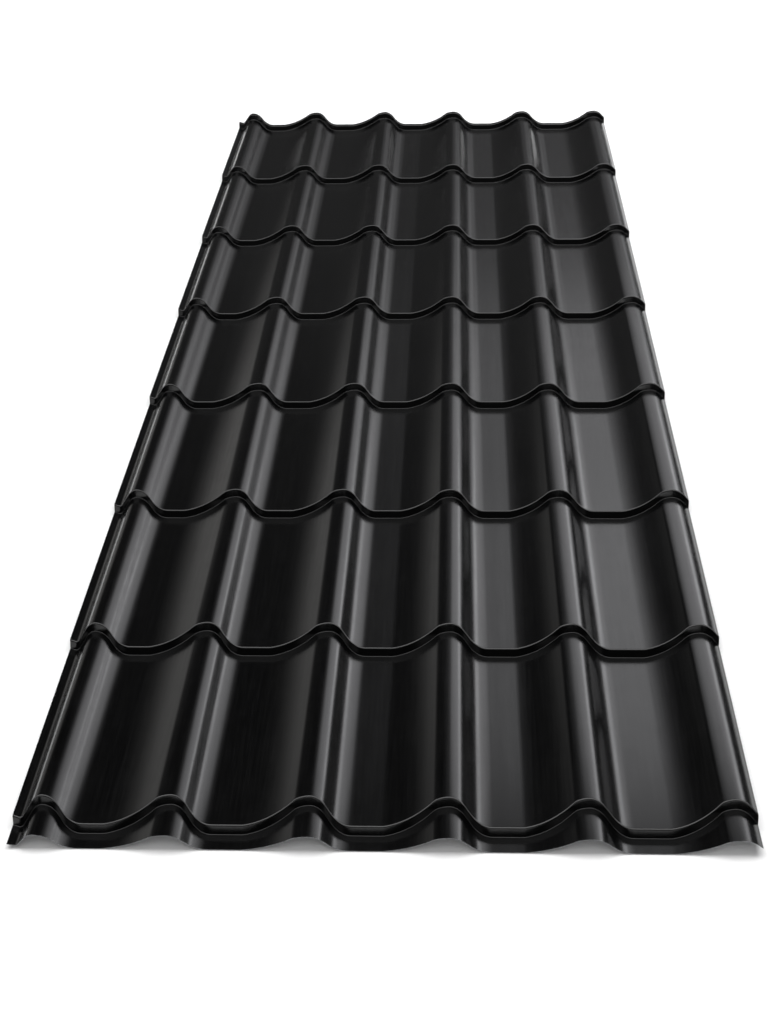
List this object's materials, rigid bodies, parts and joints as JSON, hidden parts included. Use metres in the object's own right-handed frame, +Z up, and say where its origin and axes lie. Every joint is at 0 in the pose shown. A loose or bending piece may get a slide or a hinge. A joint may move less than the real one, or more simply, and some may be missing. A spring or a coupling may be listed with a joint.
{
  "type": "tile effect roofing sheet",
  "caption": "Steel roofing sheet pressed with waves and steps so that it looks like rows of clay pantiles, with a lap crest and drain lip on one side.",
  "frame": {"origin": "the middle of the sheet's outline, on the floor that it lies on", "axes": "+X across the sheet from the lap lip to the cover edge, +Y up the roof from the eave end, +Z up out of the sheet's face"},
  "size_m": [0.9736, 2.8784, 0.0356],
  "materials": {
    "coated_steel": "satin black coil coating"
  },
  "bodies": {
    "root": {"roofing_sheet": "coated_steel"}
  },
  "joints": []
}
